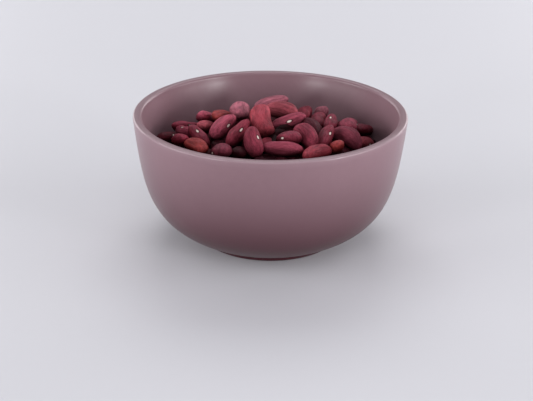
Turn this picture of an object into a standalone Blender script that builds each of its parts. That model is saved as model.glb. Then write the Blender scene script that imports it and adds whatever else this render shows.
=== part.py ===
"""A round stoneware bowl with a heap of dried kidney beans in it.

Metres, +Z up. The origin is the middle of the foot, on the surface that the bowl stands on.
The bowl is one turned solid. The heap is one solid too: a core with its upper beans fused on.
"""

import math

import bmesh
import bpy
import numpy as np
from mathutils import Matrix

MM = 0.001
MERGE = 0.01 * MM

# The bowl, in millimetres
RIM_RADIUS = 60.0
HEIGHT = 57.5
FOOT_RADIUS = 32.0
FOOT_HEIGHT = 2.0
FOOT_DRAFT = 0.6
FOOT_RING_WIDTH = 3.4
RECESS_DEPTH = 1.4
RECESS_SLOPE = 0.8
FLOOR_HEIGHT = 6.2
FLOOR_FLAT_RADIUS = 16.0
WALL = 3.8
LIP_OUTER_ROUND = 0.9
LIP_INNER_ROUND = 1.3
# Where the outer wall heads as it leaves the foot and as it meets the lip, as radius and height
OUTER_LOW_PULL = (54.8, 11.4)
OUTER_HIGH_PULL = (56.6, 24.2)
INNER_LOW_PULL = (48.5, 6.2)
INNER_HIGH_PULL = (50.4, 25.0)
TURN_STEPS = 48
WALL_SEGMENTS = 8
LIP_SEGMENTS = 3
WALL_LOOKUP = 60

# The heap, in millimetres
GAP = 0.35
MOUND_TOP = 57.0
MOUND_DROP = 13.5
MOUND_RADIUS = 51.0
MOUND_POWER = 1.35
CORE_BELOW_TOP = 8.0
CORE_SEGMENTS = 5
BEAN_SIDES = 7
BEAN_RINGS = 5
FACET_SWELL = 1.06
SHARP_ANGLE = 42
BEAN_LENGTH = (14.5, 18.5)
BEAN_WIDTH = 8.3
BEAN_THICKNESS = 6.4
PLUMPNESS = (0.9, 1.12)
BEAN_BEND = (0.9, 1.7)
BLUNT_END = 2.5
HILUM_DENT = 0.35
# The half length of that dent, as a share of the bean's half length
HILUM_REACH = 0.3
SPREAD_SEED = 44

# The beans that lead the heap: east, north and height of the middle in millimetres, the heading
# and the tilt of the long axis and the roll about it in degrees, the length, and the plumpness.
LEADING_BEANS = (
    # across the top
    (-3.5, 0.5, 52.5, 103, 24, -8, 18.5, 1.12),
    (-13.5, 16.0, 52.4, 87, -4, 12, 17.0, 1.14),
    (0.0, 28.0, 51.8, 21, 10, 0, 17.0, 0.92),
    (5.0, 15.5, 52.5, -29, -1, 36, 17.5, 1.00),
    (7.5, 4.5, 51.0, 22, 12, -26, 17.5, 1.02),
    # down the front
    (-21.0, 0.0, 50.0, 59, 17, -25, 17.5, 1.08),
    (-14.0, -8.0, 50.0, 60, 22, -50, 17.5, 1.02),
    (-7.0, -19.0, 50.1, 105, 24, -62, 17.0, 1.02),
    (5.5, -22.5, 48.5, -18, 5, -26, 18.5, 1.05),
    (0.0, -12.5, 46.0, 52, -10, 19, 15.0, 0.94),
    (8.0, -16.0, 51.0, -54, 20, -14, 14.5, 0.98),
    (15.5, -14.0, 51.5, -65, -14, 39, 17.0, 1.02),
    (19.5, -0.5, 48.5, -68, -25, -17, 16.0, 0.98),
    (24.0, -11.0, 49.5, 75, 15, -52, 16.0, 0.93),
    (19.5, -25.5, 48.0, 48, -5, -13, 16.5, 0.98),
    # right side
    (28.5, -16.5, 47.5, 94, -22, -40, 14.0, 0.88),
    (33.5, -6.5, 48.0, -47, -7, 57, 18.0, 0.98),
    (35.0, 7.0, 48.5, 85, -11, -11, 16.5, 1.10),
    (42.5, 18.5, 42.5, 67, -19, -6, 16.0, 0.95),
    (42.0, 6.5, 40.5, 61, -19, 0, 15.5, 0.92),
    (27.0, 7.5, 49.0, 80, -1, -93, 15.5, 0.95),
    (23.5, 28.5, 47.0, 98, -14, -56, 15.0, 0.92),
    (21.5, 13.5, 48.5, 84, 1, -9, 16.0, 0.95),
    (15.0, 20.0, 49.0, 80, 1, -29, 16.5, 1.00),
    # left side
    (-29.5, 21.0, 47.0, 71, -25, -13, 15.0, 0.90),
    (-22.0, 17.0, 49.0, 68, -14, 12, 15.0, 0.90),
    (-28.5, 10.0, 46.5, 71, -20, 8, 15.0, 0.92),
    (-38.5, 22.5, 41.5, 33, -17, -31, 16.5, 0.93),
    (-31.0, -3.5, 46.5, -60, -10, -69, 17.0, 1.03),
    (-38.5, 10.0, 43.0, -62, 15, -76, 15.5, 0.95),
    (-39.0, -3.5, 45.0, 90, -26, 8, 15.5, 0.96),
    (-45.5, 3.0, 43.0, 66, -17, -38, 16.0, 0.95),
    (-31.5, -16.0, 47.0, -59, 3, 1, 16.0, 0.93),
    # low in front
    (-21.0, -22.0, 47.0, -74, 22, 5, 16.5, 1.04),
    (-12.5, -19.0, 45.0, 81, -20, 4, 16.0, 0.96),
    (35.0, -6.5, 41.0, 57, -9, -2, 16.5, 0.96),
    # under the two highest at the back
    (-14.0, 17.0, 46.0, 60, -4, 0, 16.5, 1.05),
    (0.5, 27.0, 46.0, 40, 4, 0, 16.5, 1.12),
)

# The rest of the heap's upper beans: those between the leading beans lie a layer deeper
FILL_POINTS = 72
FILL_REACH = 48.0
FILL_JITTER = 0.8
CLEAR_OF_PLACED = 6.8
TOP_CLEAR = 0.4
DEEPER = 5.0
HALF_BEAN = 3.2
NEAR_LEAD = 6.0
LEAD_SHARE = 0.1
BACK_START = 15.0
BACK_FALL = 0.12
FILL_TILT = 15.0
FILL_ROLL = 24.0
GOLDEN_ANGLE = math.pi * (3 - math.sqrt(5))

# How the beans are eased apart
ROUNDS = 400
END_BALLS_SPREAD = 0.55
PAIR_REACH = 21.0
PRESS = 0.8
BED_SINK = 2.4
FALL = 0.035
SKIN_CLEAR = 0.25
SKIN_ROUNDS = 4

# Colour, roughness and metallic value
BOWL_FINISH = ((0.296, 0.196, 0.226, 1.0), 0.34, 0.0)
BEAN_FINISH = ((0.142, 0.020, 0.030, 1.0), 0.42, 0.0)


def bezier(start, start_pull, end_pull, end, count):
    """Points along a cubic curve, from its two ends and the two points that pull it."""
    t = np.linspace(0, 1, count + 1)[:, None]
    ends = (1 - t) ** 3 * np.array(start) + t**3 * np.array(end)
    pulls = (1 - t) ** 2 * t * np.array(start_pull) + (1 - t) * t**2 * np.array(end_pull)
    return ends + 3 * pulls


def inner_wall(count):
    """Radius and height down the bowl's inside, from under the lip to the flat of its floor."""
    top = (RIM_RADIUS - WALL, HEIGHT - LIP_INNER_ROUND)
    return bezier(top, INNER_HIGH_PULL, INNER_LOW_PULL, (FLOOR_FLAT_RADIUS, FLOOR_HEIGHT), count)


def inner_radius(height):
    """The bowl's inner radius at a height."""
    wall = inner_wall(WALL_LOOKUP)[::-1]
    return np.interp(height, wall[:, 1], wall[:, 0])


def mound(radius):
    """Height of the heap's top at a distance from the middle."""
    return MOUND_TOP - MOUND_DROP * (radius / MOUND_RADIUS) ** MOUND_POWER


def bowl_profile():
    """The bowl's outline, as radius and height: up the inside, over the lip and down to the foot."""
    turn = np.linspace(0, math.pi / 2, LIP_SEGMENTS + 1)[:, None]
    inner_lip = np.array([RIM_RADIUS - WALL + LIP_INNER_ROUND, HEIGHT - LIP_INNER_ROUND])
    inner_lip = inner_lip + LIP_INNER_ROUND * np.hstack([-np.cos(turn), np.sin(turn)])
    outer_lip = np.array([RIM_RADIUS - LIP_OUTER_ROUND, HEIGHT - LIP_OUTER_ROUND])
    outer_lip = outer_lip + LIP_OUTER_ROUND * np.hstack([np.sin(turn), np.cos(turn)])
    outer = bezier(
        (RIM_RADIUS, HEIGHT - LIP_OUTER_ROUND),
        OUTER_HIGH_PULL,
        OUTER_LOW_PULL,
        (FOOT_RADIUS, FOOT_HEIGHT),
        WALL_SEGMENTS,
    )
    foot_inside = FOOT_RADIUS - FOOT_DRAFT - FOOT_RING_WIDTH
    foot = [
        (FOOT_RADIUS - FOOT_DRAFT, 0),
        (foot_inside, 0),
        (foot_inside - RECESS_SLOPE, RECESS_DEPTH),
        (0, RECESS_DEPTH),
    ]
    floor = [(0, FLOOR_HEIGHT)]
    inside = inner_wall(WALL_SEGMENTS)[::-1]
    return np.vstack([floor, inside[:-1], inner_lip, outer_lip, outer[1:], foot])


def core_profile():
    """The heap's core: its domed top, then down beside the bowl's inside to the floor."""
    wall = inner_wall(WALL_SEGMENTS)
    wall = wall - [GAP, 0]
    wall[-1] = (FLOOR_FLAT_RADIUS, FLOOR_HEIGHT + GAP)
    edge = MOUND_RADIUS
    radius = np.linspace(0, edge, CORE_SEGMENTS + 1)
    top = np.stack([radius, mound(radius) - CORE_BELOW_TOP], axis=1)
    side = wall[wall[:, 1] < top[-1, 1]]
    return np.vstack([top, side, [(0, FLOOR_HEIGHT + GAP)]])


def bean_surface(direction, length, width, thickness, bend):
    """Turns points of a unit ball into those of a bean.

    The long way is blunter than a ball's, both ends bend to the side of the scar, and a shallow
    dent marks that side's middle.
    """
    along = direction[:, 0]
    ring = np.maximum(np.hypot(direction[:, 1], direction[:, 2]), 1e-9)
    swell = np.sqrt(np.maximum(1 - np.abs(along) ** BLUNT_END, 0))
    across = direction[:, 1] / ring
    dent = HILUM_DENT * np.exp(-((along / HILUM_REACH) ** 2)) * np.maximum(-across, 0) ** 2
    x = along * length / 2
    y = across * (swell * width / 2 - dent) - bend * (along**2 - 1 / 3)
    z = direction[:, 2] / ring * swell * thickness / 2
    return np.stack([x, y, z], axis=1)


def turn_of(heading, tilt, roll):
    """Long, width and thickness axes as the columns of one 3 x 3 array for each bean."""
    heading, tilt, roll = np.radians([heading, tilt, roll])
    flat = np.zeros_like(heading)
    long_axis = np.stack(
        [np.cos(tilt) * np.cos(heading), np.cos(tilt) * np.sin(heading), np.sin(tilt)], axis=1
    )
    side = np.stack([-np.sin(heading), np.cos(heading), flat], axis=1)
    lift = np.cross(long_axis, side)
    width = np.cos(roll)[:, None] * side + np.sin(roll)[:, None] * lift
    return np.stack([long_axis, width, np.cross(long_axis, width)], axis=2)


def squared(turn):
    """Makes each set of axes square again after small turns."""
    long_axis = turn[:, :, 0] / np.linalg.norm(turn[:, :, 0], axis=1, keepdims=True)
    width = turn[:, :, 1] - (turn[:, :, 1] * long_axis).sum(axis=1, keepdims=True) * long_axis
    width = width / np.linalg.norm(width, axis=1, keepdims=True)
    return np.stack([long_axis, width, np.cross(long_axis, width)], axis=2)


def fill_top(spot, deep, placed):
    """Height that the tops of the other beans keep under: lower at the back.

    A deep one keeps DEEPER below that, or just above the undersides of the leading beans near it.
    """
    back = np.maximum(spot[..., 1] - BACK_START, 0) * BACK_FALL
    top = mound(np.linalg.norm(spot, axis=-1)) - TOP_CLEAR - back
    away = np.linalg.norm(spot[..., None, :] - placed[:, :2], axis=-1) / NEAR_LEAD
    weight = np.exp(-(away**2))
    under = ((placed[:, 2] - HALF_BEAN + PRESS) * weight).sum(axis=-1)
    under = (under + LEAD_SHARE * (top - DEEPER)) / (weight.sum(axis=-1) + LEAD_SHARE)
    return np.where(deep > 0, under, top)


def spread_fill(placed, random):
    """Rows like LEADING_BEANS on a sunflower spiral, and which of them lie deep."""
    index = np.arange(FILL_POINTS)
    radius = FILL_REACH * np.sqrt((index + 0.5) / FILL_POINTS)
    spot = radius[:, None] * np.stack(
        [np.cos(index * GOLDEN_ANGLE), np.sin(index * GOLDEN_ANGLE)], axis=1
    )
    spot = spot + random.normal(0, FILL_JITTER, spot.shape)
    heading = np.radians(placed[:, 3])
    reach = np.stack([np.cos(heading), np.sin(heading)], axis=1) * placed[:, 6:7] / 4
    taken = np.concatenate([placed[:, :2] - reach, placed[:, :2], placed[:, :2] + reach])
    gap = np.linalg.norm(spot[:, None] - taken[None], axis=2).min(axis=1)
    deep = gap < CLEAR_OF_PLACED
    draw = random.random((FILL_POINTS, 5))
    rows = np.column_stack(
        [
            spot,
            fill_top(spot, deep, placed) - HALF_BEAN,
            360 * draw[:, 0],
            FILL_TILT * (2 * draw[:, 1] - 1),
            FILL_ROLL * (2 * draw[:, 2] - 1),
            BEAN_LENGTH[0] + (BEAN_LENGTH[1] - BEAN_LENGTH[0]) * draw[:, 3],
            PLUMPNESS[0] + (PLUMPNESS[1] - PLUMPNESS[0]) * draw[:, 4],
        ]
    )
    return rows, deep


def ball_offsets(size):
    """Each bean as eight balls, four along by two across, in its own axes."""
    ball = size[:, 2] / 2
    along = np.array([-1, -1 / 3, 1 / 3, 1] * 2)
    across = np.repeat([-1, 1], 4) * np.array([END_BALLS_SPREAD, 1, 1, END_BALLS_SPREAD] * 2)
    x = along * (size[:, :1] / 2 - ball[:, None])
    y = across * (size[:, 1:2] / 2 - ball[:, None])
    return np.stack([x, y, np.zeros_like(x)], axis=2)


def ease_apart(middle, turn, size, free, deep):
    """Moves the free beans out of others, inside the bowl and on the core.

    They sink, and the deep ones rise against the fixed beans. Beans that touch cross by PRESS.
    """
    placed = middle[~free]
    ball = size[:, 2] / 2
    offsets = ball_offsets(size)
    loose = free.astype(float)[:, None]
    deep = deep[:, None]
    fall = FALL * (1 - 2 * deep) * [0, 0, 1]
    for _ in range(ROUNDS):
        arm = np.einsum("nij,nkj->nki", turn, offsets)
        balls = middle[:, None] + arm
        near = np.linalg.norm(middle[:, None] - middle[None], axis=2) < PAIR_REACH
        first, second = np.nonzero(np.triu(near & (free[:, None] | free), 1))
        between = balls[first][:, :, None] - balls[second][:, None]
        distance = np.maximum(np.linalg.norm(between, axis=3), 1e-6)
        reach = (ball[first] + ball[second] - PRESS)[:, None, None]
        crossing = np.maximum(reach - distance, 0)
        push = between * (crossing / distance)[..., None]
        share = np.where(free[first] & free[second], 0.5, 1)[:, None, None]
        force = np.zeros_like(balls)
        count = np.zeros(len(middle))
        np.add.at(force, first, push.sum(axis=2) * share)
        np.add.at(force, second, -push.sum(axis=1) * share)
        touching = (crossing > 0).sum(axis=(1, 2))
        np.add.at(count, first, touching)
        np.add.at(count, second, touching)
        radius = np.maximum(np.linalg.norm(balls[:, :, :2], axis=2), 1e-6)
        room = inner_radius(balls[:, :, 2]) - GAP - ball[:, None]
        outside = np.maximum(radius - room, 0)
        force[:, :, :2] -= balls[:, :, :2] * (outside / radius)[..., None]
        bed = mound(np.minimum(radius, MOUND_RADIUS)) - CORE_BELOW_TOP - BED_SINK
        below = np.maximum(bed + ball[:, None] - balls[:, :, 2], 0)
        top = fill_top(balls[:, :, :2], deep, placed)
        above = np.maximum(balls[:, :, 2] + ball[:, None] - top, 0)
        force[:, :, 2] += below - above
        count += (outside > 0).sum(axis=1) + (below > 0).sum(axis=1) + (above > 0).sum(axis=1)
        count = np.maximum(count, 1)[:, None]
        middle = middle + loose * (force.sum(axis=1) / count - fall)
        inertia = count * (arm**2).sum(axis=2).mean(axis=1, keepdims=True)
        spin = loose * np.cross(arm, force).sum(axis=1) / inertia
        turn = squared(turn + np.cross(spin[:, :, None], turn, axisa=1, axisb=1, axisc=1))
    return middle, turn


def kept_inside(middle, turn, size):
    """Moves towards the axis each bean whose surface comes too near the bowl's inside."""
    height = np.linspace(-1, 1, 9)
    around = np.linspace(0, 2 * math.pi, 12, endpoint=False)
    height, around = (grid.ravel() for grid in np.meshgrid(height, around))
    ring = np.sqrt(1 - height**2)
    ball = np.stack([height, ring * np.cos(around), ring * np.sin(around)], axis=1)
    skin = np.stack([bean_surface(ball, *row) for row in size])
    for _ in range(SKIN_ROUNDS):
        points = middle[:, None] + np.einsum("nij,nkj->nki", turn, skin)
        radius = np.linalg.norm(points[:, :, :2], axis=2)
        outside = (radius - inner_radius(points[:, :, 2]) + GAP + SKIN_CLEAR).max(axis=1)
        inward = middle[:, :2] / np.linalg.norm(middle[:, :2], axis=1, keepdims=True)
        middle[:, :2] -= inward * np.maximum(outside, 0)[:, None]
    return middle


def heap_layout():
    """Middles, axes and sizes of the heap's upper beans, in millimetres."""
    random = np.random.default_rng(SPREAD_SEED)
    placed = np.array(LEADING_BEANS, dtype=float)
    fill, deep = spread_fill(placed, random)
    rows = np.vstack([placed, fill])
    bend = random.uniform(*BEAN_BEND, len(rows))
    plump = rows[:, 7]
    size = np.column_stack([rows[:, 6], BEAN_WIDTH * plump, BEAN_THICKNESS * plump, bend])
    free = np.arange(len(rows)) >= len(placed)
    deep = np.concatenate([np.zeros(len(placed)), deep])
    middle, turn = ease_apart(rows[:, :3], turn_of(*rows[:, 3:6].T), size, free, deep)
    return kept_inside(middle, turn, size), turn, size


def material(name, finish):
    made = bpy.data.materials.new(name)
    made.use_nodes = True
    shader = made.node_tree.nodes["Principled BSDF"]
    colour, roughness, metallic = finish
    shader.inputs["Base Color"].default_value = colour
    shader.inputs["Roughness"].default_value = roughness
    shader.inputs["Metallic"].default_value = metallic
    made.diffuse_color = colour
    return made


def turned(name, profile, collection, finish):
    """A solid turned about the vertical axis from a profile in millimetres."""
    points = [(radius * MM, 0, height * MM) for radius, height in profile]
    edges = [(i, i + 1) for i in range(len(points) - 1)]
    mesh = bpy.data.meshes.new(name)
    mesh.from_pydata(points, edges, [])
    mesh.materials.append(finish)
    obj = bpy.data.objects.new(name, mesh)
    collection.objects.link(obj)
    screw = obj.modifiers.new("Turn", "SCREW")
    screw.steps = TURN_STEPS
    screw.render_steps = TURN_STEPS
    screw.use_merge_vertices = True
    screw.merge_threshold = MERGE
    return obj


def add_bean(index, place, turn, size, collection):
    """One bean, from a ball whose poles lie on the bean's long axis.

    It is swollen a little, so that its flat sides lie half inside and half outside the true skin.
    """
    shape = bmesh.new()
    bmesh.ops.create_uvsphere(shape, u_segments=BEAN_SIDES, v_segments=BEAN_RINGS, radius=1)
    ball = np.array([vertex.co for vertex in shape.verts])[:, [2, 0, 1]]
    length, width, thickness, bend = size
    skin = bean_surface(ball, length, FACET_SWELL * width, FACET_SWELL * thickness, bend)
    for vertex, point in zip(shape.verts, skin * MM):
        vertex.co = point
    mesh = bpy.data.meshes.new(f"bean_{index}")
    shape.to_mesh(mesh)
    shape.free()
    obj = bpy.data.objects.new(f"bean_{index}", mesh)
    frame = np.eye(4)
    frame[:3, :3] = turn
    frame[:3, 3] = place * MM
    obj.matrix_world = Matrix(frame.tolist())
    collection.objects.link(obj)
    return obj


def largest_shell(mesh):
    """Drops loose scraps and the walls of hollows that fusing has sealed."""
    shape = bmesh.new()
    shape.from_mesh(mesh)
    waiting = set(shape.verts)
    shells = []
    while waiting:
        front = [waiting.pop()]
        shell = set(front)
        while front:
            vertex = front.pop()
            for edge in vertex.link_edges:
                other = edge.other_vert(vertex)
                if other in waiting:
                    waiting.discard(other)
                    shell.add(other)
                    front.append(other)
        shells.append(shell)
    shells.sort(key=len)
    spare = [vertex for shell in shells[:-1] for vertex in shell]
    bmesh.ops.delete(shape, geom=spare, context="VERTS")
    shape.to_mesh(mesh)
    shape.free()


def build_heap(collection, helpers, finish):
    """The core and the upper beans, joined into one solid by one union."""
    heap = turned("bean_heap", core_profile(), collection, finish)
    for index, (place, turn, size) in enumerate(zip(*heap_layout())):
        add_bean(index, place, turn, size, helpers)
    union = heap.modifiers.new("Fuse beans", "BOOLEAN")
    union.operation = "UNION"
    union.operand_type = "COLLECTION"
    union.collection = helpers
    union.solver = "MANIFOLD"
    bpy.context.view_layer.update()
    graph = bpy.context.evaluated_depsgraph_get()
    fused = bpy.data.meshes.new_from_object(heap.evaluated_get(graph), depsgraph=graph)
    heap.modifiers.clear()
    heap.data = fused
    for bean in list(helpers.objects):
        bpy.data.objects.remove(bean, do_unlink=True)
    largest_shell(fused)
    fused.shade_smooth()
    fused.set_sharp_from_angle(angle=math.radians(SHARP_ANGLE))
    return heap


def main():
    for old in list(bpy.data.objects):
        bpy.data.objects.remove(old, do_unlink=True)
    scene = bpy.context.scene
    collection = bpy.data.collections.new("bowl_of_beans")
    scene.collection.children.link(collection)
    helpers = bpy.data.collections.new("loose_beans")
    helpers.hide_render = True
    scene.collection.children.link(helpers)
    bowl = turned("bowl", bowl_profile(), collection, material("glazed stoneware", BOWL_FINISH))
    bowl.data.shade_smooth()
    build_heap(collection, helpers, material("dried beans", BEAN_FINISH))


if __name__ == "__main__":
    main()
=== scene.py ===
"""Dresses the bowl of dried beans: its glaze, a heap of real beans, a pale table and soft light.

Metres, +Z up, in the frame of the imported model. The beans follow the same rule as the model's heap,
so each one lies where its plain twin lies. Sizes inside the functions are in millimetres.
"""

import math

import bpy
import numpy as np
from mathutils import Matrix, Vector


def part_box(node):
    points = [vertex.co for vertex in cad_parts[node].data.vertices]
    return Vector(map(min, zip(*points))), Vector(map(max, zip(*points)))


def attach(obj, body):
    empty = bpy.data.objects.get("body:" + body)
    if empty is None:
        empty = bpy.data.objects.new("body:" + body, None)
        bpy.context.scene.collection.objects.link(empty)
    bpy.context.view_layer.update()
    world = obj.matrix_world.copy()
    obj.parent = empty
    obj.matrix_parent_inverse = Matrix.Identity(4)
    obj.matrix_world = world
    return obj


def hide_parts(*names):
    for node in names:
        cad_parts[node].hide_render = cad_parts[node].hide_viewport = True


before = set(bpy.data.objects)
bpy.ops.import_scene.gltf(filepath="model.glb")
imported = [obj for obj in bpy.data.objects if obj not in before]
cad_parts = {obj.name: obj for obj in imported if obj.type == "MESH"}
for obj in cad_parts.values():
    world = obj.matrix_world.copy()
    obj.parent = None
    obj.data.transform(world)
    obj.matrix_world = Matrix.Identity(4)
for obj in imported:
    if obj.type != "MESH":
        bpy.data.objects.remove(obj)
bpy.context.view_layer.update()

bl_info = {
    "name": "Bowl of Dried Beans",
    "version": (1, 0, 0),
    "blender": (4, 5, 0),
    "location": "3D View > Sidebar > Bean Bowl",
    "description": "Makes a glazed bowl heaped with dried kidney beans, with its table and light",
    "category": "Add Mesh",
}

MM = 0.001
BODY = "root"
BOWL_NODE = "bowl"
HEAP_NODE = "bean_heap"

# The bowl, in millimetres
BOWL_LOW, BOWL_HIGH = (np.array(corner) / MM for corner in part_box(BOWL_NODE))
RIM_RADIUS = float(np.round((BOWL_HIGH[0] - BOWL_LOW[0]) / 2, 2))
HEIGHT = float(np.round(BOWL_HIGH[2] - BOWL_LOW[2], 2))
FOOT_RADIUS = 32.0
FOOT_HEIGHT = 2.0
FOOT_DRAFT = 0.6
FOOT_RING_WIDTH = 3.4
RECESS_DEPTH = 1.4
RECESS_SLOPE = 0.8
FLOOR_HEIGHT = 6.2
FLOOR_FLAT_RADIUS = 16.0
WALL = 3.8
LIP_OUTER_ROUND = 0.9
LIP_INNER_ROUND = 1.3
# Where the outer wall heads as it leaves the foot and as it meets the lip, as radius and height
OUTER_LOW_PULL = (54.8, 11.4)
OUTER_HIGH_PULL = (56.6, 24.2)
INNER_LOW_PULL = (48.5, 6.2)
INNER_HIGH_PULL = (50.4, 25.0)
TURN_STEPS = 256
WALL_SEGMENTS = 40
LIP_SEGMENTS = 9
WALL_LOOKUP = 60
EDGE_ROUND = 0.5
EDGE_SEGMENTS = 4
# The most of a side that rounding its corner takes
ROUND_LIMIT = 0.45

# The glaze is paler round the lip's outer edge, partly where it runs thin and partly as a painted
# highlight:
# how far that reaches, and how far in from the corner the edge's middle lies, as a share of its round
THIN_GLAZE_HIGHLIGHT_REACH = 0.6
LIP_MIDDLE = 0.3
# Painted shade low on the outer wall: the glaze darkens from this height down to that one, slowly
# first
FOOT_SHADE_FROM = 55.0
FOOT_SHADE_FULL = 12.0
FOOT_SHADE_POWER = 1.3

# The heap, in millimetres
GAP = 0.35
MOUND_TOP = 57.0
MOUND_DROP = 13.5
MOUND_RADIUS = 51.0
MOUND_POWER = 1.35
CORE_BELOW_TOP = 8.0
CORE_LOWER = 1.5
CORE_SEGMENTS = 24
CORE_STEPS = 96
BEAN_WIDTH = 8.3
BEAN_THICKNESS = 6.4
BEAN_LENGTH = (14.5, 18.5)
PLUMPNESS = (0.9, 1.12)
BEAN_BEND = (0.9, 1.7)
BLUNT_END = 2.5
HILUM_DENT = 0.35
# The half length of that dent, as a share of the bean's half length
HILUM_REACH = 0.3
SPREAD_SEED = 44

# The beans that lead the heap: east, north and height of the middle in millimetres, the heading
# and the tilt of the long axis and the roll about it in degrees, the length and the plumpness;
# then the tone and how bright it is, partly its own and partly painted light and shade, how blunt
# the ends are, and the crease's depth in millimetres
LEADING_BEANS = (
    # across the top
    (-3.5, 0.5, 52.5, 103, 24, -8, 18.5, 1.12, "brick", 0.95, 7.0, 0.00),
    (-13.5, 16.0, 52.4, 87, -4, 12, 17.0, 1.14, "rose", 1.00, 2.3, 0.00),
    (0.0, 28.0, 51.8, 21, 10, 0, 17.0, 0.92, "rose", 0.86, 2.6, 0.12),
    (5.0, 15.5, 52.5, -29, -1, 36, 17.5, 1.00, "russet", 1.10, 2.6, 0.22),
    (7.5, 4.5, 51.0, 22, 12, -26, 17.5, 1.02, "grape", 1.65, 2.5, 0.00),
    # down the front
    (-21.0, 0.0, 50.0, 59, 17, -25, 17.5, 1.08, "plum rose", 1.25, 2.4, 0.00),
    (-14.0, -8.0, 50.0, 60, 22, -50, 17.5, 1.02, "garnet", 1.45, 2.5, 0.00),
    (-7.0, -19.0, 50.1, 105, 24, -62, 17.0, 1.02, "plum", 1.05, 2.6, 0.00),
    (5.5, -22.5, 48.5, -18, 5, -26, 18.5, 1.05, "grape", 1.65, 2.5, 0.05),
    (0.0, -12.5, 46.0, 52, -10, 19, 15.0, 0.94, "crimson", 1.90, 2.4, 0.00),
    (8.0, -16.0, 51.0, -54, 20, -14, 14.5, 0.98, "plum", 0.80, 2.4, 0.00),
    (15.5, -14.0, 51.5, -65, -14, 39, 17.0, 1.02, "plum", 1.00, 2.7, 0.10),
    # Darkened as painted shade: this bean stands for a shaded gap
    (19.5, -0.5, 48.5, -68, -25, -17, 16.0, 0.98, "garnet", 0.34, 2.5, 0.20),
    (24.0, -11.0, 49.5, 75, 15, -52, 16.0, 0.93, "crimson", 0.95, 2.5, 0.00),
    (19.5, -25.5, 48.0, 48, -5, -13, 16.5, 0.98, "brick", 0.92, 2.5, 0.05),
    # right side
    (28.5, -16.5, 47.5, 94, -22, -40, 14.0, 0.88, "amber red", 1.00, 2.4, 0.00),
    (33.5, -6.5, 48.0, -47, -7, 57, 18.0, 0.98, "grape", 1.10, 2.6, 0.30),
    (35.0, 7.0, 48.5, 85, -11, -11, 16.5, 1.10, "plum rose", 0.85, 2.4, 0.00),
    (42.5, 18.5, 42.5, 67, -19, -6, 16.0, 0.95, "crimson", 0.65, 2.5, 0.00),
    (42.0, 6.5, 40.5, 61, -19, 0, 15.5, 0.92, "russet", 1.30, 2.5, 0.00),
    (27.0, 7.5, 49.0, 80, -1, -93, 15.5, 0.95, "plum", 0.95, 2.4, 0.00),
    (23.5, 28.5, 47.0, 98, -14, -56, 15.0, 0.92, "rose", 0.66, 2.4, 0.00),
    (21.5, 13.5, 48.5, 84, 1, -9, 16.0, 0.95, "crimson", 0.95, 2.5, 0.00),
    (15.0, 20.0, 49.0, 80, 1, -29, 16.5, 1.00, "crimson", 0.85, 2.5, 0.00),
    # left side
    (-29.5, 21.0, 47.0, 71, -25, -13, 15.0, 0.90, "plum rose", 1.65, 2.4, 0.00),
    (-22.0, 17.0, 49.0, 68, -14, 12, 15.0, 0.90, "amber red", 0.95, 2.5, 0.00),
    (-28.5, 10.0, 46.5, 71, -20, 8, 15.0, 0.92, "russet", 1.85, 2.4, 0.00),
    (-38.5, 22.5, 41.5, 33, -17, -31, 16.5, 0.93, "plum", 1.55, 2.6, 0.10),
    (-31.0, -3.5, 46.5, -60, -10, -69, 17.0, 1.03, "garnet", 1.15, 2.5, 0.15),
    (-38.5, 10.0, 43.0, -62, 15, -76, 15.5, 0.95, "grape", 1.80, 2.5, 0.00),
    (-39.0, -3.5, 45.0, 90, -26, 8, 15.5, 0.96, "crimson", 1.35, 2.4, 0.00),
    # Darkened as painted shade: this bean stands for a shaded gap
    (-45.5, 3.0, 43.0, 66, -17, -38, 16.0, 0.95, "garnet", 0.38, 2.5, 0.00),
    (-31.5, -16.0, 47.0, -59, 3, 1, 16.0, 0.93, "amber red", 0.98, 2.6, 0.10),
    # low in front
    (-21.0, -22.0, 47.0, -74, 22, 5, 16.5, 1.04, "grape", 0.95, 2.3, 0.00),
    # Darkened as painted shade: this bean stands for a shaded gap
    (-12.5, -19.0, 45.0, 81, -20, 4, 16.0, 0.96, "garnet", 0.22, 2.5, 0.00),
    (35.0, -6.5, 41.0, 57, -9, -2, 16.5, 0.96, "grape", 0.70, 2.5, 0.00),
    # under the two highest at the back
    (-14.0, 17.0, 46.0, 60, -4, 0, 16.5, 1.05, "garnet", 0.60, 2.5, 0.00),
    (0.5, 27.0, 46.0, 40, 4, 0, 16.5, 1.12, "garnet", 0.60, 2.5, 0.00),
)
# How many of those columns place a bean
PLACE_COLUMNS = 8

# The rest of the heap's upper beans: those between the leading beans lie a layer deeper
FILL_POINTS = 72
FILL_REACH = 48.0
FILL_JITTER = 0.8
CLEAR_OF_PLACED = 6.8
TOP_CLEAR = 0.4
DEEPER = 5.0
HALF_BEAN = 3.2
NEAR_LEAD = 6.0
LEAD_SHARE = 0.1
BACK_START = 15.0
BACK_FALL = 0.12
FILL_TILT = 15.0
FILL_ROLL = 24.0
GOLDEN_ANGLE = math.pi * (3 - math.sqrt(5))

# How the beans are eased apart
ROUNDS = 400
END_BALLS_SPREAD = 0.55
PAIR_REACH = 21.0
PRESS = 0.8
BED_SINK = 2.4
FALL = 0.035
SKIN_CLEAR = 0.25
SKIN_ROUNDS = 4
SKIN_RINGS = 9
SKIN_SIDES = 12
TINY = 1e-6

# The beans seen in the gaps, under all the others
BURIED_POINTS = 52
BURIED_REACH = 45.0
BURIED_DEPTH = 9.8
BURIED_TILT = 12.0
BURIED_SEED = 7

# Rings and sides of a leading bean, of the others on top, and of a buried one
LEAD_GRID = (38, 30)
FILL_GRID = (22, 18)
BURIED_GRID = (14, 12)

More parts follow.
